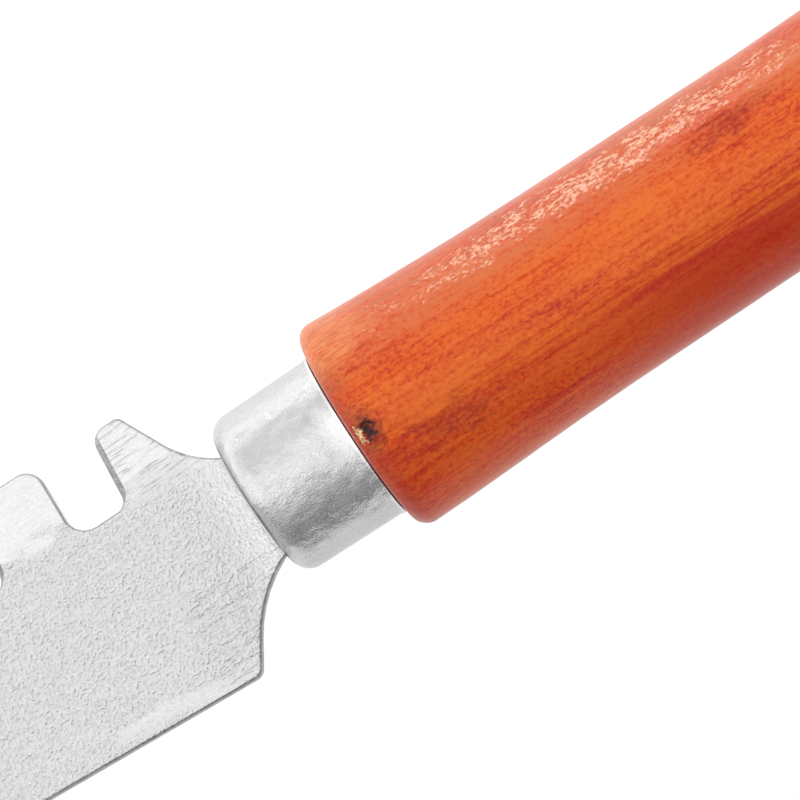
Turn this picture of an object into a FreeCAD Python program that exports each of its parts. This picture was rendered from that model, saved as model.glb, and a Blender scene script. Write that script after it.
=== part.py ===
"""Uncapping knife: a notched steel blade with a stick tang, a drawn steel ferrule, a turned
hardwood handle, and the resin that holds the tang in the handle's bore.

Frame: +X runs along the tool from the blade's tip to the butt, +Y is the notched back of the
blade (the cutting edge faces -Y) and +Z is square to the blade's flat. The origin is on the
handle's axis, half way along the whole tool. Each body is drawn with x = 0 at the ferrule's
front and moved into that frame by its Placement. Millimetres throughout.
"""
import FreeCAD, Part

import math
import os
import Sketcher

DOCUMENT_NAME = "uncapping_knife"
TOLERANCE = 1e-6

# Driving dimensions, in millimetres. "back" and "start" are distances in front of the ferrule,
# towards the tip; "high" and "low" are distances from the axis towards the blade's back and
# towards its cutting edge. A "round" is the radius that rounds off a corner of an outline.
DIMENSIONS = {
    # blade plate
    "blade_length": 217.0,
    "blade_thickness": 2.0,
    "edge_break": 0.4,
    "shoulder_behind": 0.9,
    "neck_low": 7.5,
    "neck_high": 6.3,
    "heel_curve_back": 5.8,
    "heel_curve_low": 10.85,
    "heel_curve_round": 18.0,
    "heel_back": 11.05,
    "heel_low": 19.5,
    "heel_round": 1.6,
    "tip_low": 8.2,
    "tip_low_round": 2.5,
    "tip_nose_high": 0.5,
    "tip_nose_round": 5.0,
    "tip_slant": 27.0,
    "tip_back_high": 12.2,
    "tip_back_round": 30.0,
    # notched back: a finger next to the ferrule, then equal notches with a tab between them
    "notch_count": 2.0,
    "notch_back": 14.25,
    "notch_width": 7.72,
    "notch_pitch": 18.85,
    "notch_floor": 8.55,
    "near_wall_slope": 0.07,
    "far_wall_slope": 0.022,
    "near_foot_round": 1.5,
    "far_foot_round": 3.0,
    "back_height": 19.9,
    "tab_round": 2.6,
    "finger_high": 19.05,
    "finger_width": 4.35,
    "finger_round": 2.3,
    "finger_back_round": 1.2,
    "finger_root_back": 4.13,
    "finger_root_high": 8.85,
    "finger_root_round": 13.0,
    # ground bevels
    "edge_bevel_width": 9.0,
    "edge_bevel_depth": 0.8,
    "bevel_start": 44.0,
    "bevel_full": 78.0,
    "scraper_bevel_width": 0.9,
    "scraper_bevel_depth": 0.75,
    "scraper_foot_round": 2.4,
    "scraper_foot_gap": 0.06,
    "cutter_margin": 1.5,
    # tang
    "tang_length": 80.0,
    "tang_relief_back": 0.95,
    "tang_thickness": 1.8,
    "tang_half_width": 4.0,
    "tang_end_half_width": 2.2,
    "tang_end_round": 1.2,
    # ferrule
    "ferrule_length": 15.6,
    "ferrule_dome": 0.4,
    "ferrule_front_radius": 11.4,
    "ferrule_rear_radius": 11.6,
    "ferrule_front_round": 2.8,
    "ferrule_inner_round": 1.8,
    "ferrule_wall": 0.8,
    "ferrule_lip_width": 0.5,
    "ferrule_lip_height": 0.12,
    "slot_high": 7.2,
    "slot_low": 8.0,
    "slot_height": 2.2,
    # handle
    "handle_length": 125.2,
    "tenon_front": 0.9,
    "tenon_round": 2.0,
    "shoulder_gap": 0.1,
    "shoulder_slope": 0.5,
    "front_radius": 15.1,
    "front_round": 2.2,
    "taper_end": 43.5,
    "taper_end_radius": 14.1,
    "taper_end_round": 600.0,
    "waist_end": 88.0,
    "waist_end_radius": 13.76,
    "waist_end_round": 350.0,
    "swell_from_butt": 20.0,
    "swell_radius": 15.55,
    "swell_round": 80.0,
    "butt_radius": 14.4,
    "butt_round": 6.5,
    "butt_dome": 1.5,
    "butt_dome_radius": 5.0,
    "butt_dome_round": 24.0,
    "bore_radius": 4.5,
    "bore_depth": 84.0,
}


def make_sheet(doc):
    """The spreadsheet of driving dimensions, one aliased plain number to a row."""
    sheet = doc.addObject("Spreadsheet::Sheet", "dims")
    for row, (alias, value) in enumerate(DIMENSIONS.items(), start=1):
        sheet.set(f"A{row}", alias)
        sheet.set(f"B{row}", str(value))
        sheet.setAlias(f"B{row}", alias)
    doc.recompute()
    return sheet


def total(sheet, terms):
    """The value of a coordinate given as {alias: factor}."""
    return sum(factor * float(sheet.get(alias)) for alias, factor in terms.items())


def formula(terms):
    """The same coordinate as a FreeCAD expression on the sheet's cells."""
    if not terms:
        return "0 mm"
    return " + ".join(f"{factor} * dims.{alias} * 1 mm" for alias, factor in terms.items())


def plus(terms, more, times=1.0):
    """One coordinate's terms with another's added to them, times a factor."""
    result = dict(terms)
    for alias, factor in more.items():
        result[alias] = result.get(alias, 0) + times * factor
    return result


def new_body(doc, label):
    """An empty body whose Placement moves the ferrule's front to its place in the tool's frame."""
    body = doc.addObject("PartDesign::Body", label)
    body.Label = label
    shift = "(dims.blade_length - dims.ferrule_length - dims.handle_length) / 2 * 1 mm"
    body.setExpression("Placement.Base.x", shift)
    return body


def origin_plane(body, role):
    """One of a body's own origin planes."""
    return next(feature for feature in body.Origin.OriginFeatures if feature.Role == role)


def attach(body, sketch, role, offset=None):
    """Puts a sketch on one of its own body's origin planes, lifted along the normal by offset."""
    sketch.AttachmentSupport = (origin_plane(body, role), "")
    sketch.MapMode = "FlatFace"
    if offset:
        sketch.setExpression("AttachmentOffset.Base.z", formula(offset))


def set_distance(sketch, kind, geometry, point, terms, sheet):
    """A horizontal or vertical distance from the sketch's origin, bound to the sheet."""
    value = total(sheet, terms)
    index = sketch.addConstraint(Sketcher.Constraint(kind, -1, 1, geometry, point, value))
    sketch.setExpression(f"Constraints[{index}]", formula(terms))


def corner_arc(before, corner, after, radius):
    """Start, centre and end of the arc that rounds a corner, and whether it turns left."""
    back = (before - corner).normalize()
    ahead = (after - corner).normalize()
    half = back.getAngle(ahead) / 2
    start = corner + back * (radius / math.tan(half))
    end = corner + ahead * (radius / math.tan(half))
    centre = corner + (back + ahead).normalize() * (radius / math.sin(half))
    turns_left = (back * -1).cross(ahead).z > 0
    return start, centre, end, turns_left


def outline(body, sheet, name, role, vertices, offset=None):
    """A closed sketch of straight runs joined by tangent arcs.

    Each vertex is (x terms, y terms, radius alias or None): where the runs would meet, and
    the arc that rounds them there. All of them are bound to the sheet."""
    sketch = body.newObject("Sketcher::SketchObject", name)
    attach(body, sketch, role, offset)
    corners = [FreeCAD.Vector(total(sheet, x), total(sheet, y), 0) for x, y, _ in vertices]
    count = len(vertices)
    arcs = []
    for i, (_, _, alias) in enumerate(vertices):
        if alias is None:
            arcs.append((corners[i], None, corners[i], None))
        else:
            before, after = corners[i - 1], corners[(i + 1) % count]
            arcs.append(corner_arc(before, corners[i], after, total(sheet, {alias: 1})))
    lines = []
    for i in range(count):
        segment = Part.LineSegment(arcs[i][2], arcs[(i + 1) % count][0])
        lines.append(sketch.addGeometry(segment, False))
    for i, (x_terms, y_terms, alias) in enumerate(vertices):
        incoming, outgoing = lines[i - 1], lines[i]
        if alias is None:
            sketch.addConstraint(Sketcher.Constraint("Coincident", incoming, 2, outgoing, 1))
            set_distance(sketch, "DistanceX", outgoing, 1, x_terms, sheet)
            set_distance(sketch, "DistanceY", outgoing, 1, y_terms, sheet)
            continue
        start, centre, end, turns_left = arcs[i]
        first, last = (start, end) if turns_left else (end, start)
        circle = Part.Circle(centre, FreeCAD.Vector(0, 0, 1), (start - centre).Length)
        arc = sketch.addGeometry(
            Part.ArcOfCircle(circle, circle.parameter(first), circle.parameter(last)), False
        )
        near, far = (1, 2) if turns_left else (2, 1)
        corner = sketch.addGeometry(Part.Point(corners[i]), True)
        sketch.addConstraint(Sketcher.Constraint("Tangent", incoming, 2, arc, near))
        sketch.addConstraint(Sketcher.Constraint("Tangent", outgoing, 1, arc, far))
        sketch.addConstraint(Sketcher.Constraint("PointOnObject", corner, 1, incoming))
        sketch.addConstraint(Sketcher.Constraint("PointOnObject", corner, 1, outgoing))
        radius = sketch.addConstraint(Sketcher.Constraint("Radius", arc, circle.Radius))
        sketch.setExpression(f"Constraints[{radius}]", formula({alias: 1}))
        set_distance(sketch, "DistanceX", corner, 1, x_terms, sheet)
        set_distance(sketch, "DistanceY", corner, 1, y_terms, sheet)
    return sketch


def pad(body, sketch, thickness):
    """A pad of that thickness, half to each side of its sketch."""
    feature = body.newObject("PartDesign::Pad", sketch.Name + "_pad")
    feature.Profile = sketch
    feature.Midplane = True
    feature.setExpression("Length", formula(thickness))
    return feature


def pocket(body, sketch, depth):
    """A cut of that depth, half to each side of its sketch."""
    feature = body.newObject("PartDesign::Pocket", sketch.Name + "_pocket")
    feature.Profile = sketch
    feature.Midplane = True
    feature.setExpression("Length", formula(depth))


def revolve(body, sketch):
    """A full turn of the sketch round the tool's axis."""
    feature = body.newObject("PartDesign::Revolution", sketch.Name + "_revolution")
    feature.Profile = sketch
    feature.ReferenceAxis = (sketch, ["H_Axis"])
    feature.Angle = 360


def cut_loft(body, name, sketches):
    """A straight-sided cut from each section to the next."""
    feature = body.newObject("PartDesign::SubtractiveLoft", name)
    feature.Profile = sketches[0]
    feature.Sections = sketches[1:]
    feature.Ruled = True
    return feature


def tang_vertices(front):
    """The stick tang's outline, closed across its front end at the given x terms."""
    end = {"shoulder_behind": 1, "tang_length": 1}
    return [
        (front, {"tang_half_width": -1}, None),
        (end, {"tang_end_half_width": -1}, "tang_end_round"),
        (end, {"tang_end_half_width": 1}, "tang_end_round"),
        (front, {"tang_half_width": 1}, None),
    ]


def wall_top(sheet, foot, slope_alias, height):
    """Where a notch's wall, leaning towards the handle from its foot, reaches a height."""
    slope = total(sheet, {slope_alias: 1})
    return plus(foot, plus(height, {"notch_floor": -1}), slope)


def notch_vertices(sheet, number):
    """One scraping notch in the blade's back, from its near wall to the top of its far wall.

    Notch 0 starts at the foot of the finger, whose top belongs to blade_vertices."""
    near = {"notch_back": -1, "notch_pitch": -number}
    far = plus(near, {"notch_width": -1})
    floor, top = {"notch_floor": 1}, {"back_height": 1}
    vertices = [
        (near, floor, "near_foot_round"),
        (far, floor, "far_foot_round"),
        (wall_top(sheet, far, "far_wall_slope", top), top, "tab_round"),
    ]
    if number:
        vertices.insert(0, (wall_top(sheet, near, "near_wall_slope", top), top, "tab_round"))
    return vertices


def blade_vertices(sheet):
    """The whole plate, from the tang's end round the back to the tip and along the edge."""
    end = {"shoulder_behind": 1, "tang_length": 1}
    neck = {"shoulder_behind": 1}
    high = {"finger_high": 1}
    finger = wall_top(sheet, {"notch_back": -1}, "near_wall_slope", high)
    vertices = [
        (end, {"tang_end_half_width": 1}, "tang_end_round"),
        (neck, {"tang_half_width": 1}, None),
        (neck, {"neck_high": 1}, None),
        ({"finger_root_back": -1}, {"finger_root_high": 1}, "finger_root_round"),
        (plus(finger, {"finger_width": 1}), high, "finger_back_round"),
        (finger, high, "finger_round"),
    ]
    for number in range(int(total(sheet, {"notch_count": 1}))):
        vertices += notch_vertices(sheet, number)
    return vertices + [
        ({"blade_length": -1, "tip_slant": 1}, {"tip_back_high": 1}, "tip_back_round"),
        ({"blade_length": -1}, {"tip_nose_high": 1}, "tip_nose_round"),
        ({"blade_length": -1}, {"tip_low": -1}, "tip_low_round"),
        ({"heel_back": -1}, {"heel_low": -1}, "heel_round"),
        ({"heel_curve_back": -1}, {"heel_curve_low": -1}, "heel_curve_round"),
        (neck, {"neck_low": -1}, None),
        (neck, {"tang_half_width": -1}, None),
        (end, {"tang_end_half_width": -1}, "tang_end_round"),
    ]


def break_edges(body, sheet, base):
    """Rounds the plate's rims where they lie in front of the ferrule."""
    half = total(sheet, {"blade_thickness": 0.5})
    names = []
    for index, edge in enumerate(base.Shape.Edges, start=1):
        points = [vertex.Point for vertex in edge.Vertexes] + [edge.CenterOfMass]
        on_face = all(abs(abs(point.z) - half) < TOLERANCE for point in points)
        if on_face and edge.CenterOfMass.x < 0:
            names.append(f"Edge{index}")
    feature = body.newObject("PartDesign::Fillet", "plate_edge_break")
    feature.Base = (base, names)
    feature.setExpression("Radius", formula({"edge_break": 1}))
    return feature


def bevel_section(body, sheet, name, distance, share, spread):
    """A triangle square to the tool's axis, whose long side is the edge bevel's own slope.

    distance is how far along the tool it stands, share how far that is from heel to tip, and
    spread the part of the full bevel's width there. Sketch x is the tool's y, sketch y its z."""
    run = total(sheet, {"edge_bevel_width": 1}) / total(sheet, {"edge_bevel_depth": 1})
    edge = {"heel_low": share - 1, "tip_low": -share}
    inside = plus(edge, {"edge_bevel_width": spread, "cutter_margin": run})
    outside = plus(edge, {"cutter_margin": -1})
    above = {"blade_thickness": 0.5, "cutter_margin": 1}
    below = {"blade_thickness": 0.5, "edge_bevel_depth": -spread, "cutter_margin": -1 / run}
    vertices = [(inside, above, None), (outside, above, None), (outside, below, None)]
    return outline(body, sheet, name, "YZ_Plane", vertices, distance)


def grind_cutting_edge(body, sheet):
    """The long flat bevel: it runs out towards the heel and is the same on both faces."""
    heel = total(sheet, {"heel_back": -1})
    tip = total(sheet, {"blade_length": -1})
    stations = [
        ("bevel_run_out", {"bevel_start": -1}, 0),
        ("bevel_full_width", {"bevel_full": -1}, 1),
        ("bevel_past_tip", {"blade_length": -1, "cutter_margin": -1}, 1),
    ]
    sections = []
    for name, distance, spread in stations:
        share = (total(sheet, distance) - heel) / (tip - heel)
        sections.append(bevel_section(body, sheet, name, distance, share, spread))
    upper = cut_loft(body, "edge_bevel", sections)
    lower = body.newObject("PartDesign::Mirrored", "edge_bevel_other_face")
    lower.Originals = [upper]
    lower.MirrorPlane = (origin_plane(body, "XY_Plane"), [""])
    body.Tip = lower


def grind_scraper(body, sheet, number):
    """The bevel on one notch's near wall, which fades out round the foot of the wall."""
    wall = {"notch_back": -1, "notch_pitch": -number}
    inside = plus(wall, {"cutter_margin": -1})
    floor = {"notch_floor": 1, "scraper_foot_gap": 1}
    top = {"back_height": 1, "cutter_margin": 1}
    face = {"blade_thickness": 0.5}
    run = total(sheet, {"scraper_bevel_width": 1}) / total(sheet, {"scraper_bevel_depth": 1})
    levels = [
        ("low", {}, plus(face, {"scraper_bevel_depth": -1})),
        ("high", {"scraper_bevel_width": 1, "cutter_margin": run}, plus(face, {"cutter_margin": 1})),
    ]
    sections = []
    for level, setback, height in levels:
        foot = plus(wall, setback)
        vertices = [
            (wall_top(sheet, foot, "near_wall_slope", top), top, None),
            (inside, top, None),
            (inside, floor, None),
            (foot, floor, "scraper_foot_round"),
        ]
        name = f"scraper_{number}_{level}"
        sections.append(outline(body, sheet, name, "XY_Plane", vertices, height))
    cut_loft(body, f"scraper_bevel_{number}", sections)


def relieve_tang(body, sheet):
    """Thins both faces from just in front of the ferrule to the tang's end."""
    front = {"tang_relief_back": -1}
    behind = {"shoulder_behind": 1, "tang_length": 1, "cutter_margin": 1}
    below, above = {"back_height": -1}, {"back_height": 1}
    corners = [(front, below), (behind, below), (behind, above), (front, above)]
    vertices = [(x, y, None) for x, y in corners]
    for name, side in (("upper", 1), ("lower", -1)):
        middle = {"tang_thickness": side * 0.5, "cutter_margin": side * 0.5}
        sketch = outline(body, sheet, f"tang_relief_{name}", "XY_Plane", vertices, middle)
        pocket(body, sketch, {"cutter_margin": 1})


def make_blade(doc, sheet):
    """Blade and stick tang, cut from one plate, then ground."""
    body = new_body(doc, "blade")
    profile = outline(body, sheet, "blade_profile", "XY_Plane", blade_vertices(sheet))
    plate = pad(body, profile, {"blade_thickness": 1})
    doc.recompute()
    break_edges(body, sheet, plate)
    relieve_tang(body, sheet)
    for number in range(int(total(sheet, {"notch_count": 1}))):
        grind_scraper(body, sheet, number)
    grind_cutting_edge(body, sheet)
    doc.recompute()
    return body


def make_ferrule(doc, sheet):
    """A drawn cup with a slightly domed front, a slot for the neck and a lip at its rear."""
    body = new_body(doc, "ferrule")
    rear = {"ferrule_length": 1}
    lip = {"ferrule_length": 1, "ferrule_lip_width": -1}
    outer = {"ferrule_rear_radius": 1}
    lip_radius = {"ferrule_rear_radius": 1, "ferrule_lip_height": 1}
    inner_rear = {"ferrule_rear_radius": 1, "ferrule_wall": -1}
    inner_front = {"ferrule_front_radius": 1, "ferrule_wall": -1}
    dome, dome_inside = {"ferrule_dome": -1}, {"ferrule_dome": -1, "ferrule_wall": 1}
    vertices = [
        (dome, {}, None),
        (dome_inside, {}, None),
        ({"ferrule_wall": 1}, inner_front, "ferrule_inner_round"),
        (rear, inner_rear, None),
        (rear, lip_radius, None),
        (lip, lip_radius, None),
        (lip, outer, None),
        ({}, {"ferrule_front_radius": 1}, "ferrule_front_round"),
    ]
    revolve(body, outline(body, sheet, "ferrule_profile", "XY_Plane", vertices))
    left, right = {"slot_low": -1}, {"slot_high": 1}
    below, above = {"slot_height": -0.5}, {"slot_height": 0.5}
    corners = [(left, below), (right, below), (right, above), (left, above)]
    slot = [(x, y, None) for x, y in corners]
    sketch = outline(body, sheet, "blade_slot", "YZ_Plane", slot)
    pocket(body, sketch, {"ferrule_wall": 4})
    doc.recompute()
    return body


def make_handle(doc, sheet):
    """The turned grip, with its tenon and the blind bore for the tang."""
    body = new_body(doc, "handle")
    front = {"ferrule_length": 1, "shoulder_gap": 1}
    butt = {"ferrule_length": 1, "handle_length": 1}
    tenon = {"tenon_front": 1}
    tenon_front_radius = {"ferrule_front_radius": 1, "ferrule_wall": -1}
    tenon_rear_radius = {"ferrule_rear_radius": 1, "ferrule_wall": -1}
    bore, bore_end = {"bore_radius": 1}, {"tenon_front": 1, "bore_depth": 1}
    vertices = [
        (tenon, bore, None),
        (bore_end, bore, None),
        (bore_end, {}, None),
        (butt, {}, None),
        (butt, {"butt_dome_radius": 1}, "butt_dome_round"),
        (plus(butt, {"butt_dome": -1}), {"butt_radius": 1}, "butt_round"),
        (plus(butt, {"swell_from_butt": -1}), {"swell_radius": 1}, "swell_round"),
        ({"waist_end": 1}, {"waist_end_radius": 1}, "waist_end_round"),
        ({"taper_end": 1}, {"taper_end_radius": 1}, "taper_end_round"),
        (plus(front, {"shoulder_slope": 1}), {"front_radius": 1}, "front_round"),
        (front, tenon_rear_radius, None),
        (tenon, tenon_front_radius, "tenon_round"),
    ]
    revolve(body, outline(body, sheet, "handle_profile", "XY_Plane", vertices))
    doc.recompute()
    return body


def make_resin(doc, sheet):
    """Cured resin that fills the handle's bore round the tang."""
    body = new_body(doc, "tang_resin")
    front, end = {"tenon_front": 1}, {"tenon_front": 1, "bore_depth": 1}
    corners = [(front, {}), (end, {}), (end, {"bore_radius": 1}), (front, {"bore_radius": 1})]
    vertices = [(x, y, None) for x, y in corners]
    revolve(body, outline(body, sheet, "resin_profile", "XY_Plane", vertices))
    sketch = outline(body, sheet, "tang_seat", "XY_Plane", tang_vertices(front))
    pocket(body, sketch, {"tang_thickness": 1})
    doc.recompute()
    return body


def check(doc, parts):
    """Stops the script if any object failed or any part isn't a valid closed solid."""
    for obj in doc.Objects:
        if "Invalid" in obj.State or "Error" in obj.State:
            raise RuntimeError(f"{obj.Label} failed: {obj.State}")
    for body in parts:
        shape = body.Shape
        if shape.isNull() or not shape.isValid() or not shape.Solids:
            raise RuntimeError(f"{body.Label} isn't a valid solid")


def main():
    doc = FreeCAD.newDocument(DOCUMENT_NAME)
    sheet = make_sheet(doc)
    makers = (make_blade, make_ferrule, make_handle, make_resin)
    parts = [maker(doc, sheet) for maker in makers]
    doc.recompute()
    check(doc, parts)
    os.makedirs("parts", exist_ok=True)
    for body in parts:
        body.Shape.exportStep(f"parts/{body.Label}.step")
        box = body.Shape.optimalBoundingBox()
        print(
            f"{body.Label}: {body.Shape.Volume:.1f} mm3, {len(body.Shape.Solids)} solid, "
            f"x {box.XMin:.2f}..{box.XMax:.2f} y {box.YMin:.2f}..{box.YMax:.2f} "
            f"z {box.ZMin:.2f}..{box.ZMax:.2f}"
        )


main()
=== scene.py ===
"""Looks of the uncapping knife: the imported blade, ferrule and resin take their own materials,
and the turned handle is remade as a finer mesh with its knot and the marks of the lathe.

The frame is the part's own: +X towards the butt, +Y towards the blade's notched back, +Z square
to the blade's flat. Lengths are in metres; material textures are in millimetres."""

import math

import bmesh
import bpy
import numpy as np
from mathutils import Matrix, Vector


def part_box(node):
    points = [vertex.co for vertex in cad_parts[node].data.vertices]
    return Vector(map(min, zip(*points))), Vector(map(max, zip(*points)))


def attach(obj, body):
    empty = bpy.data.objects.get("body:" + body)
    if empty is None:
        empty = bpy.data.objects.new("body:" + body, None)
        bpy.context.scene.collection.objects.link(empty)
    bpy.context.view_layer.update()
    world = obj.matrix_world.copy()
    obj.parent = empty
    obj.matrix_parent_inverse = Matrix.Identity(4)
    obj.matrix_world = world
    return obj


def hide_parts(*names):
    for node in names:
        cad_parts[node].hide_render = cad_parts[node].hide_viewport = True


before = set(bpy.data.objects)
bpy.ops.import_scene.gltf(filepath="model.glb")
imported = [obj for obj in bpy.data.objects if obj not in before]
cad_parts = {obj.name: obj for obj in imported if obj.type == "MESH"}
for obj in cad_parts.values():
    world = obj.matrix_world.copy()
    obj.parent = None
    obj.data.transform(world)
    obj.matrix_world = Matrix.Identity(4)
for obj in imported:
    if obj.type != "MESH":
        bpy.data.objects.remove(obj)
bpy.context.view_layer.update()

MM = 0.001

# The ferrule's ends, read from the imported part.
FERRULE_FRONT, FERRULE_REAR = (corner.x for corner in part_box("ferrule"))

# How the tool lies on the table: its axis dips towards the tip, and it is rolled on its round
# handle so that the side of the blade's cutting edge shows.
LEAN = math.radians(3.6)
ROLL = math.radians(11.0)
TABLE = Matrix.Rotation(LEAN, 3, "Y") @ Matrix.Rotation(ROLL, 3, "X")

# The knot just behind the handle's rounded front, on the side that lies uppermost.
KNOT_BEHIND_FERRULE = 2.5 * MM
KNOT_HEIGHT = 14.95 * MM
KNOT_TURN = -ROLL - math.radians(1.2)
KNOT_RADIUS = 0.85 * MM
KNOT_DEPTH = 0.6 * MM
# A painted glint beside it, pale amber: the way there from the knot, in millimetres.
KNOT_GLINT = (-1.1, -0.3, 0.0)

# Dark clouds in the wood's figure, in millimetres: distance behind the ferrule, y, half length
# and half width.
BEHIND_KNOT_FIGURE = (11.5, -7.6, 7.0, 2.6)
WAIST_FIGURE = (61.0, 4.4, 6.0, 1.9)

# The wood's colours: the stain from dark to pale, and what is laid over it.
STAIN = [
    (0.22, (0.42, 0.022, 0.007)),
    (0.37, (0.58, 0.050, 0.008)),
    (0.50, (0.69, 0.096, 0.010)),
    (0.68, (0.75, 0.148, 0.018)),
]
# The next three are painted light and shade on the handle's sides: a darker lower side that is
# partly a dark streak, a paler upper side, and dull streaks high on the upper side.
SHADE_AND_STREAK = (0.42, 0.014, 0.007, 1.0)
LIT_SIDE_PALE = (0.58, 0.150, 0.065, 1.0)
BAND_SHADE = (0.36, 0.09, 0.06, 1.0)
FIGURE = (0.32, 0.020, 0.010, 1.0)
PORE = (0.20, 0.015, 0.008, 1.0)
RIM_SHADE = (0.27, 0.045, 0.035, 1.0)
PALE_FRONT = (0.93, 0.36, 0.12, 1.0)
# The next two are a painted reflection along the handle's top: its dark specks and its pale
# specks.
REFLECTION_DARK_SPECK = (0.36, 0.05, 0.025, 1.0)
REFLECTION_FLECK = (0.88, 0.52, 0.36, 1.0)
KNOT_HALO = (0.13, 0.010, 0.010, 1.0)
KNOT_HEART = (0.045, 0.014, 0.016, 1.0)
# The next two are the colours of the painted glint beside the knot.
AMBER_DARK = (0.46, 0.17, 0.05, 1.0)
AMBER_PALE = (0.95, 0.80, 0.50, 1.0)
RESIN = [(0.3, (0.30, 0.19, 0.07)), (0.7, (0.52, 0.38, 0.17))]

# The hollow in the ferrule, in millimetres: distance before its rear edge, y, z and radius.
HOLLOW = (1.6, -1.4, 11.6)
HOLLOW_RADIUS = 5.0

# The handle's mesh. AROUND is the points in a ring, crowded on the knot's side by TOP_CROWDING.
# A corner of the outline that turns less than CORNER is drawn as a smooth curve.
AROUND = 256
TOP_CROWDING = 0.6
MIN_STEP = 0.16 * MM
MAX_STEP = 1.2 * MM
STEP_GROWTH = 0.03
CORNER = math.cos(math.radians(25.0))
GRIP_INSIDE = 12.5 * MM
FADE_LENGTH = 1.0 * MM
WAVER = 0.06 * MM
SET_OVER = 0.10 * MM
RIM_SET_OVER = 0.16 * MM
RIM_LENGTH = 7.0 * MM
SET_OVER_END = 60.0 * MM
SET_OVER_FADE = 30.0 * MM
SEAM_TOLERANCE = 0.001 * MM
SHARP_ANGLE = math.radians(50)

# Camera: a long lens square to the table, turned so that the tool runs up to the right.
VIEW_WIDTH = 102.2 * MM
VIEW_DISTANCE = 0.75
VIEW_TURN = math.radians(33.4) - math.atan(math.sin(ROLL) * math.tan(LEAN))
VIEW_BEHIND_FERRULE = 7.07 * MM
VIEW_SIDE = 0.65 * MM
SENSOR_WIDTH = 36.0

# Surroundings. SKY is (degrees from overhead towards the blade's back, brightness), and FLOOR is
# (millimetres from the tool's axis towards the blade's back, brightness). Both are tuned so that
# the steel and the lacquer look as they do in the photo.
SKY = [
    (-90, 0.46), (-76, 0.17), (-62, 0.38), (-42, 0.70), (-26, 0.58), (-15, 1.06), (-8, 1.28),
    (0, 1.42), (12, 1.42), (24, 1.32), (40, 1.08), (60, 1.04), (76, 1.12), (90, 1.5),
]
SKY_PEAK = 1.6
SKY_TIP_SIDE = 1.22
SKY_BUTT_SIDE = 0.8
FLOOR = [(-240, 0.7), (-110, 1.2), (-75, 1.0), (-12, 1.0), (12, 1.08), (25, 1.22), (80, 1.6)]
FLOOR_PEAK = 1.6
FLOOR_SIZE = 3.0
FLOOR_REACH = 250.0
FLOOR_GAP = 0.05 * MM

# A thin strip of light low on the side of the blade's back. It shows in reflections only.
WINDOW_SIZE = (0.16, 0.016)
WINDOW_ALONG = 160.0 * MM
WINDOW_OUT = 0.26
WINDOW_UP = 0.035
WINDOW_RADIANCE = 11.0


# ---------------------------------------------------------------- shader helpers


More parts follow.
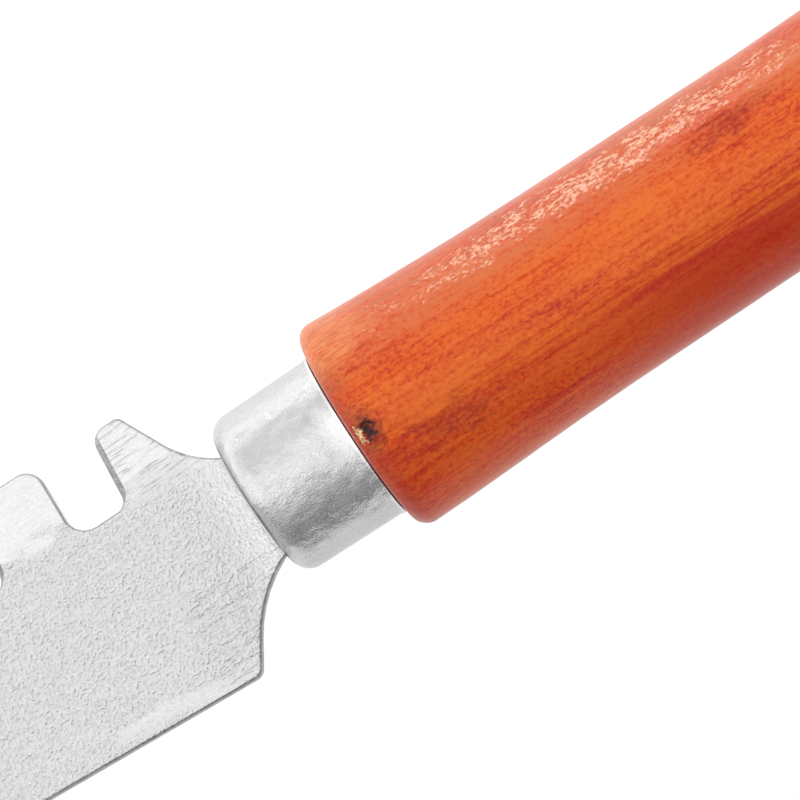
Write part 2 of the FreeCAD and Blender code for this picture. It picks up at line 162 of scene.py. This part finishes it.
class Nodes:
    """Short calls for the nodes of one material."""

    def __init__(self, name):
        self.material = bpy.data.materials.new(name)
        self.material.use_nodes = True
        self.tree = self.material.node_tree
        self.shader = self.tree.nodes["Principled BSDF"]
        texture_space = self.add("ShaderNodeTexCoord").outputs["Object"]
        self.place = self.vector("MULTIPLY", texture_space, (1 / MM,) * 3)

    def add(self, kind, **settings):
        node = self.tree.nodes.new(kind)
        for key, value in settings.items():
            setattr(node, key, value)
        return node

    def feed(self, socket, value):
        """Links an output to a socket, or sets the socket to a plain value."""
        if isinstance(value, bpy.types.NodeSocket):
            self.tree.links.new(value, socket)
        else:
            socket.default_value = value

    def vector(self, operation, a, b):
        node = self.add("ShaderNodeVectorMath", operation=operation)
        self.feed(node.inputs[0], a)
        self.feed(node.inputs[1], b)
        return node.outputs[0]

    def length(self, vector):
        node = self.add("ShaderNodeVectorMath", operation="LENGTH")
        self.feed(node.inputs[0], vector)
        return node.outputs["Value"]

    def math(self, operation, a, b=0.0, c=0.0):
        node = self.add("ShaderNodeMath", operation=operation)
        for socket, value in zip(node.inputs, (a, b, c)):
            self.feed(socket, value)
        return node.outputs[0]

    def stretched(self, scale, offset=(0.0, 0.0, 0.0)):
        """The place in millimetres, moved and then scaled along each axis."""
        return self.vector("MULTIPLY", self.vector("ADD", self.place, offset), scale)

    def noise(self, place, scale=1.0, detail=2.0, roughness=0.5, distortion=0.0):
        node = self.add("ShaderNodeTexNoise")
        self.feed(node.inputs["Vector"], place)
        self.feed(node.inputs["Scale"], scale)
        self.feed(node.inputs["Detail"], detail)
        self.feed(node.inputs["Roughness"], roughness)
        self.feed(node.inputs["Distortion"], distortion)
        return node.outputs["Fac"]

    def cells(self, place, scale=1.0, feature="F1"):
        node = self.add("ShaderNodeTexVoronoi", feature=feature)
        self.feed(node.inputs["Vector"], place)
        self.feed(node.inputs["Scale"], scale)
        return node.outputs["Distance"]

    def spread(self, value, low, high, to_low=0.0, to_high=1.0):
        """Maps low..high smoothly to to_low..to_high and holds the ends."""
        node = self.add("ShaderNodeMapRange", interpolation_type="SMOOTHSTEP")
        for socket, number in zip(node.inputs, (value, low, high, to_low, to_high)):
            self.feed(socket, number)
        return node.outputs["Result"]

    def spread_straight(self, value, low, high):
        """Maps low..high evenly to 0..1."""
        node = self.add("ShaderNodeMapRange")
        for socket, number in zip(node.inputs, (value, low, high)):
            self.feed(socket, number)
        return node.outputs["Result"]

    def ramp(self, value, stops):
        node = self.add("ShaderNodeValToRGB")
        self.feed(node.inputs["Fac"], value)
        fill_ramp(node, stops)
        return node.outputs["Color"]

    def mix(self, factor, a, b, blend="MIX"):
        node = self.add("ShaderNodeMix", data_type="RGBA", blend_type=blend)
        self.feed(node.inputs["Factor"], factor)
        self.feed(node.inputs["A"], a)
        self.feed(node.inputs["B"], b)
        return node.outputs["Result"]

    def bump(self, height, depth_mm, strength=1.0, normal=None):
        """A bump whose height of 1 stands for depth_mm."""
        node = self.add("ShaderNodeBump")
        self.feed(node.inputs["Height"], height)
        self.feed(node.inputs["Distance"], depth_mm * MM)
        self.feed(node.inputs["Strength"], strength)
        if normal is not None:
            self.feed(node.inputs["Normal"], normal)
        return node.outputs["Normal"]

    def axis(self, index):
        node = self.add("ShaderNodeSeparateXYZ")
        self.feed(node.inputs[0], self.place)
        return node.outputs[index]

    def facing(self, index):
        """One part of the smooth surface's own direction, before any bump."""
        node = self.add("ShaderNodeSeparateXYZ")
        self.feed(node.inputs[0], self.add("ShaderNodeTexCoord").outputs["Normal"])
        return node.outputs[index]

    def grey(self, level):
        node = self.add("ShaderNodeCombineColor")
        for socket in node.inputs:
            self.feed(socket, level)
        return node.outputs[0]

    def set(self, **sockets):
        """Feeds the shader's sockets by name, with _ for a space."""
        for key, value in sockets.items():
            self.feed(self.shader.inputs[key.replace("_", " ")], value)


def grey(level):
    return (level, level, level, 1.0)


def fill_ramp(node, stops):
    """Gives a colour ramp its stops, each (position, colour)."""
    elements = node.color_ramp.elements
    while len(elements) < len(stops):
        elements.new(0.5)
    for element, (position, colour) in zip(elements, stops):
        element.position = position
        element.color = (*colour, 1.0)


# ---------------------------------------------------------------- materials


def blade_steel():
    """Pebbled rolled steel with painted shade on its sheared sides and steep bevels, ground and
    streaky along its back, scratched at its heel and root, smoothed by wear here and there near
    the edge. Its pebbles are flatter close to the ferrule, where painted light brightens it and a
    thin painted shade lies just before the ferrule."""
    n = Nodes("blade_steel")
    x, y = n.axis(0), n.axis(1)
    wander = n.noise(n.stretched((0.12, 0.4, 1.0)), detail=3.0)
    edge_of_grind = n.math("ADD", y, n.spread(wander, 0.3, 0.7, -1.4, 1.4))
    back_grind = n.spread(edge_of_grind, 9.4, 12.6)
    patches = n.noise(n.stretched((0.05, 0.22, 1.0), (31.0, 4.0, 0.0)), detail=2.0)
    low_zone = n.spread(y, -11.0, -17.0)
    wear_and_reflection = n.math("MULTIPLY", low_zone, n.spread(patches, 0.42, 0.62, 0.0, 0.8))

    heel = n.math("MULTIPLY", n.spread(x, 21.0, 24.0), n.spread(y, -4.5, -7.5))
    root = n.math("MULTIPLY", n.spread(x, 21.0, 27.0), n.spread(y, 5.5, 9.5))
    scratched = n.math("MAXIMUM", heel, root)
    smooth = n.math("MAXIMUM", n.math("MAXIMUM", back_grind, wear_and_reflection), n.math("MULTIPLY", root, 0.75))
    streaked = n.math("MAXIMUM", n.math("MAXIMUM", scratched, back_grind), wear_and_reflection)

    pebbles = n.noise(n.stretched((1.0, 1.0, 1.0)), scale=2.6, detail=1.6, roughness=0.5)
    swell = n.noise(n.stretched((0.35, 0.35, 1.0), (5.0, 0.0, 0.0)), detail=1.0)
    streaks = n.noise(n.stretched((0.2, 4.6, 1.0)), detail=2.0, roughness=0.5)
    cuts = n.noise(n.stretched((0.22, 2.6, 1.0), (9.0, 2.0, 0.0)), detail=1.0)

    level_pebbles = n.math("SUBTRACT", pebbles, 0.5)
    pebble_height = n.math("MULTIPLY", level_pebbles, n.spread(smooth, 0.0, 1.0, 1.0, 0.04))
    front = FERRULE_FRONT / MM
    pebble_height = n.math("MULTIPLY", pebble_height, n.spread(x, front - 8.0, front, 1.0, 0.35))
    normal = n.bump(pebble_height, 0.37)
    normal = n.bump(swell, 0.04, normal=normal)
    streak_height = n.math("SUBTRACT", streaks, 0.5)
    streak_height = n.math("MULTIPLY", streak_height, n.spread(streaked, 0.0, 1.0, 0.08, 1.0))
    normal = n.bump(streak_height, 0.055, normal=normal)
    cut_depth = n.math("MULTIPLY", n.spread(cuts, 0.56, 0.68), scratched)
    normal = n.bump(n.math("SUBTRACT", 0.0, cut_depth), 0.07, normal=normal)

    tone = n.spread(pebbles, 0.3, 0.7, -0.03, 0.03)
    tone = n.math("ADD", tone, n.spread(streaks, 0.3, 0.7, -0.02, 0.02))
    tone = n.math("ADD", tone, n.spread(back_grind, 0.0, 1.0, 0.0, 0.07))
    level = n.math("ADD", tone, 0.61)
    # Painted shade: faces that turn away from the flat, the sheared sides and steep bevels, are
    # darkened.
    cloudy = n.noise(n.stretched((0.6, 0.6, 0.6), (2.0, 8.0, 0.0)), detail=2.0)
    painted_side_tone = n.spread(cloudy, 0.3, 0.7, 0.44, 0.62)
    painted_side_share = n.spread(n.facing(2), 0.96, 0.86)
    shade = n.math("MULTIPLY_ADD", painted_side_share, n.math("SUBTRACT", painted_side_tone, 1.0), 1.0)
    level = n.math("MULTIPLY", level, shade)
    # Painted light: brighter over the last 6 mm before the ferrule, against the shade that falls
    # there.
    level = n.math("MULTIPLY", level, n.spread(x, front - 6.0, front, 1.0, 1.12))
    # Painted shade: darker in a thin strip just before the ferrule, where the blade meets it.
    level = n.math("MULTIPLY", level, n.spread(x, front - 0.5, front - 0.2, 1.0, 0.8))
    roughness = n.spread(back_grind, 0.0, 1.0, 0.36, 0.33)
    n.set(Base_Color=n.grey(level), Metallic=1.0, Roughness=roughness, Normal=normal)
    return n.material


def ferrule_steel():
    """Drawn steel, satin with a fine grain that is stronger on the cutting edge's side. It has
    shallow dents and one hollow, painted shade round its front edge and a little down its sides,
    a painted highlight on a patch towards its rear, and a painted highlight along its rear lip."""
    n = Nodes("ferrule_steel")
    grain = n.noise(n.stretched((1.0, 1.0, 1.0)), scale=3.4, detail=2.0, roughness=0.6)
    dents = n.noise(n.stretched((0.24, 0.24, 0.24), (7.0, 3.0, 0.0)), detail=2.0)
    drawn = n.noise(n.stretched((0.25, 3.0, 3.0)), detail=2.0)
    rear = FERRULE_REAR / MM
    grain_share = n.spread(n.axis(1), 1.5, -1.5, 0.5, 1.0)
    grain_height = n.math("MULTIPLY", n.math("SUBTRACT", grain, 0.5), grain_share)
    normal = n.bump(grain_height, 0.09)
    normal = n.bump(dents, 0.55, normal=normal)
    normal = n.bump(drawn, 0.01, normal=normal)
    away = n.vector("SUBTRACT", n.place, (rear - HOLLOW[0], HOLLOW[1], HOLLOW[2]))
    hollow = n.length(n.vector("MULTIPLY", away, (1.2, 0.8, 0.8)))
    normal = n.bump(n.spread(hollow, 0.0, HOLLOW_RADIUS), 0.9, normal=normal)
    level = n.spread(grain, 0.3, 0.7, 0.54, 0.61)
    # Painted shade round the front edge, where the surface turns towards the tip; the flat front
    # face gets most of its brightness back.
    front_edge_shade = n.math("ADD", n.facing(0), n.spread(dents, 0.3, 0.7, -0.03, 0.03))
    level = n.math("MULTIPLY", level, n.spread(front_edge_shade, -0.80, -0.90, 1.0, 0.30))
    level = n.math("MULTIPLY", level, n.spread(n.facing(0), -0.985, -0.995, 1.0, 2.6))
    # Painted shade: a little darker down both sides.
    sides = n.math("ABSOLUTE", n.axis(1))
    level = n.math("MULTIPLY", level, n.spread(sides, 10.2, 11.4, 1.0, 0.9))
    # Painted highlight: a brighter patch on top towards the rear.
    beside = n.math("ABSOLUTE", n.math("ADD", n.axis(1), 0.6))
    rear_highlight = n.spread(n.axis(0), rear - 6.5, rear - 3.5)
    rear_highlight = n.math("MULTIPLY", rear_highlight, n.spread(beside, 3.6, 0.8))
    level = n.math("MULTIPLY", level, n.math("MULTIPLY_ADD", rear_highlight, 0.16, 1.0))
    # Painted highlight along the rear lip.
    level = n.math("MULTIPLY", level, n.spread(n.axis(0), rear - 0.4, rear - 0.25, 1.0, 1.3))
    roughness = n.spread(dents, 0.3, 0.7, 0.18, 0.26)
    n.set(Base_Color=n.grey(level), Metallic=1.0, Roughness=roughness, Normal=normal)
    return n.material


def lacquered_wood():
    """Hardwood stained red-orange under clear lacquer, with grain and pores along the tool, two
    dark clouds in its figure, and a knot with a painted glint beside it. Its front rim is shaded,
    its upper side is paler with dull streaks near the top, both painted light and shade, its
    lower side is darker, partly a dark streak and partly painted shade, and pale and dark specks
    in a band along its upper side are a painted reflection, a sparkling one."""
    n = Nodes("lacquered_wood")
    streaks = n.noise(
        n.stretched((0.05, 1.2, 1.2), (0.0, 3.5, 0.0)), detail=4.0, roughness=0.6, distortion=0.2
    )
    fibres = n.noise(n.stretched((0.4, 5.0, 5.0)), detail=2.0, roughness=0.5)
    blotches = n.noise(n.stretched((0.06, 0.14, 0.14), (12.0, 8.5, 0.0)), detail=2.5)
    mottle = n.noise(n.stretched((1.4, 2.2, 2.2)), detail=3.0, roughness=0.65)
    pores = n.noise(n.stretched((1.6, 4.5, 4.5), (0.0, 9.0, 2.0)), detail=1.0)

    depth = n.math("MULTIPLY_ADD", streaks, 0.70, n.math("MULTIPLY_ADD", blotches, 0.55, -0.09))
    depth = n.math("ADD", depth, n.spread(mottle, 0.25, 0.75, -0.16, 0.16))
    depth = n.math("ADD", depth, n.spread(fibres, 0.3, 0.7, -0.03, 0.03))
    front = FERRULE_REAR / MM
    front_share = n.spread(n.axis(0), front + 11.0, front)
    front_shade = n.spread(n.axis(1), 4.0, -2.0, -0.07, 0.09)
    depth = n.math("SUBTRACT", depth, n.math("MULTIPLY", front_share, front_shade))
    # Painted shade on the lower side, partly a dark streak in the wood, growing towards the butt.
    wavy_height = n.math("ADD", n.axis(1), n.spread(streaks, 0.3, 0.7, -2.0, 2.0))
    colour = n.ramp(depth, STAIN)
    shade_and_streak = n.spread(n.axis(0), front + 25.0, front + 50.0, 0.25, 0.7)
    shade_and_streak = n.math("MULTIPLY", shade_and_streak, n.spread(wavy_height, -3.5, -8.0))
    colour = n.mix(shade_and_streak, colour, SHADE_AND_STREAK)
    # Painted light: the upper side paler.
    lit_side_pale = n.spread(depth, 0.34, 0.62, 0.12, 0.68)
    lit_side_pale = n.math("MULTIPLY", n.spread(n.axis(1), 1.0, 7.0), lit_side_pale)
    colour = n.mix(lit_side_pale, colour, LIT_SIDE_PALE)
    # Painted shade: dull brown streaks high on the upper side, the dim parts of the painted
    # reflection.
    band_shade = n.spread(streaks, 0.46, 0.6, 0.0, 0.45)
    band_shade = n.math("MULTIPLY", n.spread(n.axis(1), 8.5, 11.5), band_shade)
    colour = n.mix(band_shade, colour, BAND_SHADE)
    figure = n.math("MAXIMUM", cloud(n, BEHIND_KNOT_FIGURE), cloud(n, WAIST_FIGURE))
    figure = n.math("MULTIPLY", figure, n.spread(mottle, 0.3, 0.7, 0.75, 0.25))
    colour = n.mix(figure, colour, FIGURE)
    pore_share = n.spread(pores, 0.66, 0.73, 0.0, 0.4)
    colour = n.mix(pore_share, colour, PORE)

    rim_shade = n.spread(n.axis(0), front + 4.5, front + 0.5)
    rim_shade = n.math("MULTIPLY", rim_shade, n.spread(n.axis(1), 10.0, 6.0))
    rim_shade = n.math("MULTIPLY", rim_shade, n.spread(streaks, 0.3, 0.7, 0.15, 0.7))
    colour = n.mix(rim_shade, colour, RIM_SHADE)
    pale_front = n.spread(n.axis(0), front + 13.0, front + 4.0)
    pale_front = n.math("MULTIPLY", pale_front, n.spread(n.axis(1), 4.0, 8.0))
    pale_front = n.math("MULTIPLY", pale_front, n.spread(fibres, 0.38, 0.62, 0.05, 0.45))
    colour = n.mix(pale_front, colour, PALE_FRONT)

    peel = n.noise(n.stretched((0.5, 0.8, 0.8), (3.0, 0.0, 6.0)), detail=1.0)
    specks = n.noise(n.stretched((1.3, 2.0, 2.0), (1.0, 5.0, 0.0)), detail=5.0, roughness=0.75)
    # A painted reflection: pale specks and dark specks in a band along the upper side, gathered in
    # clusters and faded at both ends.
    height = n.math("ADD", n.axis(1), n.spread(peel, 0.3, 0.7, -0.8, 0.8))
    wear_and_reflection = n.math("MULTIPLY", n.spread(height, 6.0, 8.6), n.spread(height, 11.6, 10.0))
    wear_and_reflection = n.math("MULTIPLY", wear_and_reflection, n.spread(n.axis(2), 0.0, 4.0))
    clusters = n.noise(n.stretched((0.22, 0.6, 0.6), (8.0, 0.0, 0.0)))
    wear_and_reflection = n.math("MULTIPLY", wear_and_reflection, n.spread(clusters, 0.35, 0.58, 0.3, 1.15))
    wear_and_reflection = n.math("MULTIPLY", wear_and_reflection, n.spread(n.axis(0), front + 6.0, front + 34.0, 0.25, 1.0))
    wear_and_reflection = n.math("MULTIPLY", wear_and_reflection, n.spread(n.axis(0), front + 55.0, front + 85.0, 1.0, 0.2))
    reflection_dark_specks = n.math("MULTIPLY", n.spread(specks, 0.50, 0.38, 0.0, 0.5), wear_and_reflection)
    colour = n.mix(reflection_dark_specks, colour, REFLECTION_DARK_SPECK)
    reflection_flecks = n.spread(n.math("MULTIPLY_ADD", wear_and_reflection, 0.12, specks), 0.55, 0.72, 0.0, 0.85)
    reflection_flecks = n.math("MULTIPLY", reflection_flecks, n.spread(wear_and_reflection, 0.02, 0.4))
    colour = n.mix(reflection_flecks, colour, REFLECTION_FLECK)

    ragged = n.spread(mottle, 0.3, 0.7, -0.5, 0.5)
    halo = n.math("ADD", knot_distance(n, (1.0, 0.75)), ragged)
    colour = n.mix(n.spread(halo, 2.8, 0.9, 0.0, 0.6), colour, KNOT_HALO)
    colour = n.mix(n.spread(halo, 1.1, 0.75), colour, KNOT_HEART)
    # A painted glint beside the knot, pale amber.
    glint = n.math("ADD", knot_distance(n, (1.8, 0.5), KNOT_GLINT), ragged)
    amber = n.mix(n.spread(fibres, 0.45, 0.6), AMBER_DARK, AMBER_PALE)
    colour = n.mix(n.spread(glint, 0.8, 0.5), colour, amber)

    normal = n.bump(fibres, 0.010)
    normal = n.bump(n.math("SUBTRACT", 1.0, pore_share), 0.03, normal=normal)
    coat_normal = n.bump(peel, 0.06)
    coat_normal = n.bump(specks, 0.03, normal=coat_normal)
    coat_normal = n.bump(n.math("SUBTRACT", 1.0, pore_share), 0.03, normal=coat_normal)
    n.set(
        Base_Color=colour,
        Roughness=0.5,
        Specular_IOR_Level=0.0,
        Normal=normal,
        Coat_Weight=0.38,
        Coat_Roughness=0.05,
        Coat_IOR=1.5,
        Coat_Normal=coat_normal,
        Sheen_Weight=0.2,
        Sheen_Roughness=0.4,
    )
    return n.material


def cloud(n, figure):
    """A ragged oval on the handle, 1 in its middle and 0 outside."""
    behind_ferrule, y, half_length, half_width = figure
    away = n.vector("SUBTRACT", n.place, (FERRULE_REAR / MM + behind_ferrule, y, 0.0))
    away = n.length(n.vector("MULTIPLY", away, (1 / half_length, 1 / half_width, 0.0)))
    torn = n.noise(n.stretched((0.3, 0.8, 0.8), (4.0, 2.0, 0.0)), detail=3.0)
    ragged = n.math("ADD", away, n.spread(torn, 0.3, 0.7, -0.5, 0.5))
    return n.spread(ragged, 1.25, 0.25)


def knot_place():
    """The knot's middle, on the handle's skin."""
    y, z = KNOT_HEIGHT * math.sin(KNOT_TURN), KNOT_HEIGHT * math.cos(KNOT_TURN)
    return Vector((FERRULE_REAR + KNOT_BEHIND_FERRULE, y, z))


def knot_distance(n, shape, offset=(0.0, 0.0, 0.0)):
    """Distance from the knot in millimetres, scaled along and across the tool, from an offset."""
    middle = knot_place() / MM + Vector(offset)
    away = n.vector("SUBTRACT", n.place, middle)
    return n.length(n.vector("MULTIPLY", away, (shape[0], shape[1], shape[1])))


def cured_resin():
    """Amber resin with a few bubbles."""
    n = Nodes("cured_resin")
    clouds = n.noise(n.stretched((0.2, 0.4, 0.4)), detail=3.0)
    bubbles = n.cells(n.stretched((0.9, 0.9, 0.9)))
    colour = n.ramp(clouds, RESIN)
    n.set(Base_Color=colour, Roughness=0.35, Normal=n.bump(bubbles, 0.1))
    return n.material


# ---------------------------------------------------------------- handle


def seam_profile(node):
    """A turned node's outline as (x, radius), in order from the bore's end round to the butt."""
    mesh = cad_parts[node].data
    seam = {}
    for vertex in mesh.vertices:
        if abs(vertex.co.z) < SEAM_TOLERANCE and vertex.co.y > 0.0:
            seam[vertex.index] = (round(vertex.co.x, 6), round(vertex.co.y, 6))
    links = {}
    for edge in mesh.edges:
        a, b = (seam.get(index) for index in edge.vertices)
        if a and b and a != b:
            links.setdefault(a, set()).add(b)
            links.setdefault(b, set()).add(a)
    ends = sorted(point for point, beside in links.items() if len(beside) == 1)
    path = [ends[0]]
    while path[-1] != ends[1]:
        path += [point for point in links[path[-1]] if point not in path[-2:]]
    return np.array(path)


def smooth_profile(points, step):
    """The outline with points added on smooth arcs between its own, at most step(x) apart."""
    runs = np.diff(points, axis=0)
    lengths = np.linalg.norm(runs, axis=1)
    directions = runs / lengths[:, None]
    tangents = np.vstack([directions[:1], directions[:-1] + directions[1:], directions[-1:]])
    tangents /= np.linalg.norm(tangents, axis=1)[:, None]
    turns = np.ones(len(points))
    turns[1:-1] = (directions[:-1] * directions[1:]).sum(axis=1)
    result = [points[0]]
    for i, length in enumerate(lengths):
        leave = tangents[i] if turns[i] > CORNER else directions[i]
        arrive = tangents[i + 1] if turns[i + 1] > CORNER else directions[i]
        count = max(1, math.ceil(length / step(points[i : i + 2, 0].mean())))
        for t in np.arange(1, count + 1) / count:
            result.append(
                points[i] * (1 + 2 * t) * (1 - t) ** 2
                + leave * length * t * (1 - t) ** 2
                + points[i + 1] * t * t * (3 - 2 * t)
                + arrive * length * t * t * (t - 1)
            )
    return np.array(result)


def handle_step(x):
    """Spacing of the handle's rings: fine round the knot, wider towards the butt."""
    return min(MAX_STEP, MIN_STEP + abs(x - knot_place().x) * STEP_GROWTH)


def knot_dip(x, across):
    """How deep the knot's pit is at a place on the handle: a ragged cup with a small raised
    island in it."""
    dx, dy = (x - knot_place().x) / KNOT_RADIUS, across / KNOT_RADIUS
    angle = np.arctan2(dy, dx)
    ragged = 1.0 + 0.16 * np.sin(3 * angle + 0.6) + 0.10 * np.sin(5 * angle + 2.1)
    away = np.hypot(dx, 0.85 * dy) / ragged
    cup = np.clip(1.0 - away**2, 0.0, 1.0) ** 0.7
    island = np.exp(-((dx + 0.35) ** 2 + (dy - 0.1) ** 2) / 0.05)
    return KNOT_DEPTH * cup * (1.0 - 0.55 * island)


def turned_waver(x, angle):
    """Slight flats and ripples left by turning and sanding, always inwards, in metres."""
    along = (x - FERRULE_REAR) / MM
    ripple = np.sin(along * 0.9 + 1.3 * np.sin(along * 0.31)) * 0.25
    flats = np.sin(2 * angle + along * 0.05) * 0.4 + np.sin(5 * angle - along * 0.11 + 1.0) * 0.2
    return WAVER * (1.0 - ripple - flats) / 2


def set_over(x):
    """How far the grip is turned off its centre line towards the blade's back, in metres."""
    along = x - FERRULE_REAR
    rim = RIM_SET_OVER * np.exp(-((along / RIM_LENGTH) ** 2))
    fade = np.clip((SET_OVER_END + SET_OVER_FADE - along) / SET_OVER_FADE, 0.0, 1.0)
    return (SET_OVER + rim) * fade


def build_handle():
    """The turned handle as one closed mesh: tenon, bore, rounded front, waist and butt."""
    profile = smooth_profile(seam_profile("handle"), handle_step)
    x, radius = profile[:, 0][:, None], profile[:, 1][:, None]
    turn = np.linspace(-0.5, 0.5, AROUND, endpoint=False)
    crowded = 2 * math.pi * turn - TOP_CROWDING * np.sin(2 * math.pi * turn)
    angle = (crowded + KNOT_TURN)[None, :]
    outside = (radius > GRIP_INSIDE) & (x > FERRULE_REAR)
    inwards = turned_waver(x, angle) + knot_dip(x, radius * (angle - KNOT_TURN))
    fade = np.clip((x - FERRULE_REAR) / FADE_LENGTH, 0.0, 1.0)
    radius = radius - np.where(outside, inwards * fade, 0.0)
    y, z = radius * np.sin(angle), radius * np.cos(angle)
    y = y + np.where(outside, set_over(x) * fade, 0.0)
    rings = np.stack([np.broadcast_to(x, y.shape), y, z], axis=-1).reshape(-1, 3)
    ends = [(profile[0, 0], 0.0, 0.0), (profile[-1, 0], 0.0, 0.0)]
    count = len(profile)
    faces = []
    for ring in range(count - 1):
        low, high = ring * AROUND, (ring + 1) * AROUND
        for i in range(AROUND):
            j = (i + 1) % AROUND
            faces.append((low + i, low + j, high + j, high + i))
    first, last = count * AROUND, count * AROUND + 1
    top = (count - 1) * AROUND
    for i in range(AROUND):
        j = (i + 1) % AROUND
        faces.append((first, j, i))
        faces.append((last, top + i, top + j))
    mesh = bpy.data.meshes.new("turned_handle")
    mesh.from_pydata(rings.tolist() + ends, [], faces)
    mesh.validate()
    repair = bmesh.new()
    repair.from_mesh(mesh)
    bmesh.ops.recalc_face_normals(repair, faces=repair.faces)
    repair.to_mesh(mesh)
    repair.free()
    mesh.shade_smooth()
    mesh.set_sharp_from_angle(angle=SHARP_ANGLE)
    handle = bpy.data.objects.new("turned_handle", mesh)
    bpy.context.collection.objects.link(handle)
    mesh.materials.append(lacquered_wood())
    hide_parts("handle")
    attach(handle, "root")


def finish_node(name, material):
    """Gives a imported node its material."""
    for material_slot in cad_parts[name].material_slots:
        material_slot.material = material


# ---------------------------------------------------------------- stage, light and camera


def table_height():
    """Where the table is, measured square to it from the origin: under the lowest point."""
    up = TABLE @ Vector((0.0, 0.0, 1.0))
    return min(up.dot(v.co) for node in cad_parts.values() for v in node.data.vertices)


def table_to_frame(place):
    """A point given square to the table (along, towards the blade's back, up) in the frame."""
    return TABLE @ Vector(place)


def make_floor(height):
    """A plain white light table that the tool lies on, brighter on the blade's back side."""
    bpy.ops.mesh.primitive_plane_add(size=FLOOR_SIZE)
    floor = bpy.context.object
    floor.name = "light_table"
    place = table_to_frame((0.0, 0.0, height - FLOOR_GAP))
    floor.matrix_world = Matrix.Translation(place) @ TABLE.to_4x4()
    n = Nodes("light_table")
    share = n.spread_straight(n.axis(1), -FLOOR_REACH, FLOOR_REACH)
    stops = [(0.5 + y / (2 * FLOOR_REACH), (level / FLOOR_PEAK,) * 3) for y, level in FLOOR]
    n.set(Base_Color=grey(0.0), Specular_IOR_Level=0.0, Emission_Strength=FLOOR_PEAK)
    n.set(Emission_Color=n.ramp(share, stops))
    floor.data.materials.append(n.material)


def make_sky():
    """Soft studio surroundings: brightest overhead, dimmer low on the cutting edge's side."""
    world = bpy.data.worlds.new("studio")
    bpy.context.scene.world = world
    world.use_nodes = True
    tree = world.node_tree
    direction = tree.nodes.new("ShaderNodeTexCoord").outputs["Generated"]

    def toward(axis):
        node = tree.nodes.new("ShaderNodeVectorMath")
        node.operation = "DOT_PRODUCT"
        tree.links.new(direction, node.inputs[0])
        node.inputs[1].default_value = TABLE @ Vector(axis)
        return node.outputs["Value"]

    def mapped(value, from_low, from_high, to_low, to_high):
        node = tree.nodes.new("ShaderNodeMapRange")
        tree.links.new(value, node.inputs["Value"])
        for socket, number in zip(list(node.inputs)[1:5], (from_low, from_high, to_low, to_high)):
            socket.default_value = number
        return node.outputs["Result"]

    roll = tree.nodes.new("ShaderNodeMath")
    roll.operation = "ARCTAN2"
    tree.links.new(toward((0.0, 1.0, 0.0)), roll.inputs[0])
    tree.links.new(toward((0.0, 0.0, 1.0)), roll.inputs[1])
    ramp = tree.nodes.new("ShaderNodeValToRGB")
    share = mapped(roll.outputs[0], -math.pi / 2, math.pi / 2, 0.0, 1.0)
    tree.links.new(share, ramp.inputs["Fac"])
    fill_ramp(ramp, [(0.5 + degrees / 180.0, (level / SKY_PEAK,) * 3) for degrees, level in SKY])
    shade = tree.nodes.new("ShaderNodeMix")
    shade.data_type = "RGBA"
    shade.blend_type = "MULTIPLY"
    shade.inputs["Factor"].default_value = 1.0
    along = mapped(toward((1.0, 0.0, 0.0)), -0.8, 0.8, SKY_TIP_SIDE, SKY_BUTT_SIDE)
    tree.links.new(ramp.outputs["Color"], shade.inputs["A"])
    tree.links.new(along, shade.inputs["B"])
    background = tree.nodes["Background"]
    tree.links.new(shade.outputs["Result"], background.inputs["Color"])
    background.inputs["Strength"].default_value = SKY_PEAK


def make_area(name, place, target, size, radiance):
    """A rectangular light of a given radiance, aimed at a point, with its width level. It shows
    in reflections only."""
    light = bpy.data.lights.new(name, "AREA")
    light.shape = "RECTANGLE"
    light.size, light.size_y = size
    light.energy = radiance * size[0] * size[1] * math.pi
    lamp = bpy.data.objects.new(name, light)
    bpy.context.collection.objects.link(lamp)
    lamp.location = place
    lamp.visible_diffuse = False
    lamp.rotation_euler = (Vector(target) - Vector(place)).to_track_quat("-Z", "Y").to_euler()


def make_camera():
    """A long lens square to the table, turned so that the handle runs up to the right."""
    camera = bpy.data.cameras.new("camera")
    camera.sensor_width = SENSOR_WIDTH
    camera.lens = SENSOR_WIDTH * VIEW_DISTANCE / VIEW_WIDTH
    holder = bpy.data.objects.new("camera", camera)
    bpy.context.collection.objects.link(holder)
    aim = Vector((FERRULE_REAR + VIEW_BEHIND_FERRULE, VIEW_SIDE, 0.0))
    turn = Matrix.Rotation(-VIEW_TURN, 4, "Z")
    back = Matrix.Translation((0.0, 0.0, VIEW_DISTANCE))
    holder.matrix_world = Matrix.Translation(aim) @ TABLE.to_4x4() @ turn @ back
    bpy.context.scene.camera = holder


# ---------------------------------------------------------------- the scene

finish_node("blade", blade_steel())
finish_node("ferrule", ferrule_steel())
finish_node("tang_resin", cured_resin())
build_handle()

height = table_height()
make_floor(height)
make_sky()
window_place = table_to_frame((WINDOW_ALONG, WINDOW_OUT, height + WINDOW_UP + WINDOW_SIZE[1] / 2))
window_target = table_to_frame((WINDOW_ALONG, 0.0, 0.0))
make_area("window", window_place, window_target, WINDOW_SIZE, WINDOW_RADIANCE)
make_camera()
bpy.context.scene.view_settings.view_transform = "Standard"
